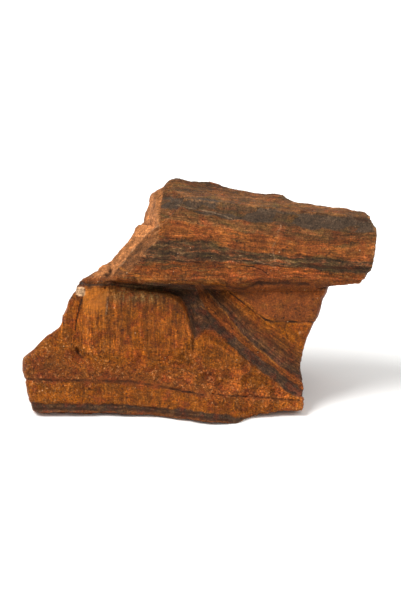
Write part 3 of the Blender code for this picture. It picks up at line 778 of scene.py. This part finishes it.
def tigersEyeMaterial(mapNames):
    look = tigersEye
    material = bpy.data.materials.new("rough tiger's eye")
    material.use_nodes = True
    tree = material.node_tree
    add = partial(addNode, tree)
    shader = tree.nodes["Principled BSDF"]
    shader.inputs["IOR"].default_value = look["ior"]
    shader.inputs["Specular IOR Level"].default_value = look["gloss"]

    # places in millimetres along the bedding, and stretched versions of them
    leaned = add("Mapping", add("TexCoord", out="Object"), None, (radians(leanDegrees), 0, 0), (1 / mm,) * 3)
    signals = {name: add("Attribute", attribute_name=name, out="Fac") for name in mapNames}
    slowAcross = add("Math", add("SeparateXYZ", leaned, out="X"), alongBeds, operation="MULTIPLY")
    slowDeep = add("Math", add("SeparateXYZ", leaned, out="Y"), alongBeds, operation="MULTIPLY")
    bed = add("CombineXYZ", slowAcross, slowDeep, signals["bedUp"])
    spaces = {
        "leaned": leaned, "bed": bed,
        "bedPatch": add("Mapping", bed, None, None, (2.0, 2.0, 0.65)),
        "bedGrain": add("Mapping", bed, None, None, (9.0, 9.0, 1.9)),
        "slabs": add("Mapping", bed, None, None, (2.4, 2.4, 0.36)),
        "fibreSpace": add("Mapping", leaned, None, None, (1 / fibreMm, 0.35 / fibreMm, 0.09 / fibreMm)),
        "bundleSpace": add("Mapping", leaned, None, (0, 0.04, 0), (0.42, 0.2, 0.045)),
    }
    for name, (space, scale, detail, rough) in patterns.items():
        signals[name] = add("TexNoise", spaces[space], scale, detail, rough, out="Fac")
    for name, space, scale in (("pick", "leaned", 1 / speckMm), ("slab", "slabs", 1.0)):
        signals[name] = add("SeparateColor", add("TexVoronoi", spaces[space], scale, out="Color"))
        signals["near" + name.capitalize()] = add("TexVoronoi", spaces[space], scale, out="Distance")
    signals["cleft"] = add("TexVoronoi", leaned, 1 / cleftMm, feature="DISTANCE_TO_EDGE", out="Distance")

    count = len(layers)
    stops = []
    for k, (name, layer) in enumerate(layers.items()):
        stops.append(((k + 0.06) / count, linear(look[layer["rock"]])))
        if name not in oneStopLayers:
            stops.append(((k + 0.94) / count, linear(look[layer["rock"]])))
    wavering = add("Math", signals["blotches"], 0.4, signals["layer"], operation="MULTIPLY_ADD")
    signals["height"] = add("Math", wavering, 1 / count, -0.2 / count, operation="MULTIPLY_ADD")
    colour = add("ValToRGB", signals["height"], out="Color")
    fillRamp(colour, stops)

    def laidOver(colour, rows):
        for name, *limits in rows:
            amount = 1.0
            for what, low, high, least, most in limits:
                limit = add("MapRange", signals[what], low, high, least, most)
                amount = add("Math", amount, limit, operation="MULTIPLY")
            colour = add("Mix", amount, colour, linear(look[name]), data_type="RGBA")
        return colour

    colour = laidOver(colour, overlays)
    # starts from the stains and the painted shade under the ledge
    tone = signals["stain"]
    for what, kind, without, fully in tones:
        weight = add("MapRange", signals[kind], 0, 1, without, fully)
        centred = add("Math", signals[what], 0.5, operation="SUBTRACT")
        tone = add("Math", centred, weight, tone, operation="MULTIPLY_ADD")
    colour = add("VectorMath", colour, add("Math", 2.0, tone, operation="POWER"), operation="SCALE")
    tree.links.new(laidOver(colour, darkest), shader.inputs["Base Color"])

    rough = add("MapRange", signals["grain"], 0.3, 0.7, look["roughness"] - 0.1, look["roughness"] + 0.1)
    for name, amount in (("smooth", -0.14), ("fibrous", -0.12), ("endFacet", 0.3)):
        rough = add("Math", signals[name], amount, rough, operation="MULTIPLY_ADD")
    tree.links.new(rough, shader.inputs["Roughness"])

    height = add("Math", signals["grain"], 1.0, operation="MULTIPLY")
    for what, kind, without, fully in (("fibres", "fibrous", 0.2, 1.2), ("laminae", "layered", 0.3, 1.2),
                                       ("coarse", "smooth", 0.8, 0.5), ("dust", "smooth", 0.5, 0.25)):
        weight = add("MapRange", signals[kind], 0, 1, without, fully)
        height = add("Math", signals[what], weight, height, operation="MULTIPLY_ADD")
    bump = add("Bump", 1.0, look["bumpMm"] * mm)
    tree.links.new(height, bump.node.inputs["Height"])
    tree.links.new(bump, shader.inputs["Normal"])
    print("tiger's eye:", len(stops), "layer colours,", len(tree.nodes), "nodes")
    return material


# A matt white sweep under soft daylight lamps, the brighter one from the upper left.
studio = {
    "floor": "#fafaf8", "sky": "#ffffff", "skyStrength": 0.72,
    "keyFrom": (-0.55, -0.34, 0.95), "keyStrength": 2.75, "keySoftness": 30.0,
    "fillFrom": (0.6, -0.5, 0.9), "fillStrength": 0.5, "fillSoftness": 70.0,
    "floorReach": 6.0, "lens": 240.0, "frameHeightMm": 213.4, "lookAtMm": (62.7, 43.8, 5.0),
}


def makeStudio():
    scene = bpy.context.scene
    scene.view_settings.view_transform = "Standard"
    floorMesh = bpy.data.meshes.new("floor")
    reach = studio["floorReach"]
    corners = [(-reach, -reach, 0), (reach, -reach, 0), (reach, reach, 0), (-reach, reach, 0)]
    floorMesh.from_pydata(corners, [], [(0, 1, 2, 3)])
    floor = bpy.data.objects.new("floor", floorMesh)
    scene.collection.objects.link(floor)
    paper = bpy.data.materials.new("matt white paper")
    paper.use_nodes = True
    paperShader = paper.node_tree.nodes["Principled BSDF"]
    paperShader.inputs["Base Color"].default_value = linear(studio["floor"])
    paperShader.inputs["Roughness"].default_value = 0.9
    paperShader.inputs["Specular IOR Level"].default_value = 0.1
    floorMesh.materials.append(paper)

    world = bpy.data.worlds.new("softSky")
    world.use_nodes = True
    background = world.node_tree.nodes["Background"]
    background.inputs["Color"].default_value = linear(studio["sky"])
    background.inputs["Strength"].default_value = studio["skyStrength"]
    scene.world = world
    for name in ("key", "fill"):
        lamp = bpy.data.lights.new(name, "SUN")
        lamp.energy = studio[name + "Strength"]
        lamp.angle = radians(studio[name + "Softness"])
        holder = bpy.data.objects.new(name, lamp)
        holder.rotation_euler = Vector(studio[name + "From"]).to_track_quat("Z", "Y").to_euler()
        scene.collection.objects.link(holder)

    lean = radians(leanDegrees)
    across, up, deep = studio["lookAtMm"]
    aim = Vector((across, up * sin(lean) + deep * cos(lean), up * cos(lean) - deep * sin(lean)))
    target = Vector(cadBox[0]) + Vector(beddingZero) * mm + aim * mm
    sight = Vector((0, cos(lean), -sin(lean)))
    camera = bpy.data.cameras.new("camera")
    camera.lens = studio["lens"]
    distance = studio["frameHeightMm"] * mm * camera.lens / camera.sensor_width
    camera.clip_end = 20.0
    holder = bpy.data.objects.new("camera", camera)
    holder.location = target - sight * distance
    holder.rotation_euler = sight.to_track_quat("-Z", "Y").to_euler()
    scene.collection.objects.link(holder)
    scene.camera = holder
    print("studio ready, camera", round(distance, 3), "m away")


stone, mapNames = makeStone()
stone.data.materials.clear()
stone.data.materials.append(tigersEyeMaterial(mapNames))
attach(stone, "root")
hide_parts("tigers_eye")
print("stone finished")

makeStudio()
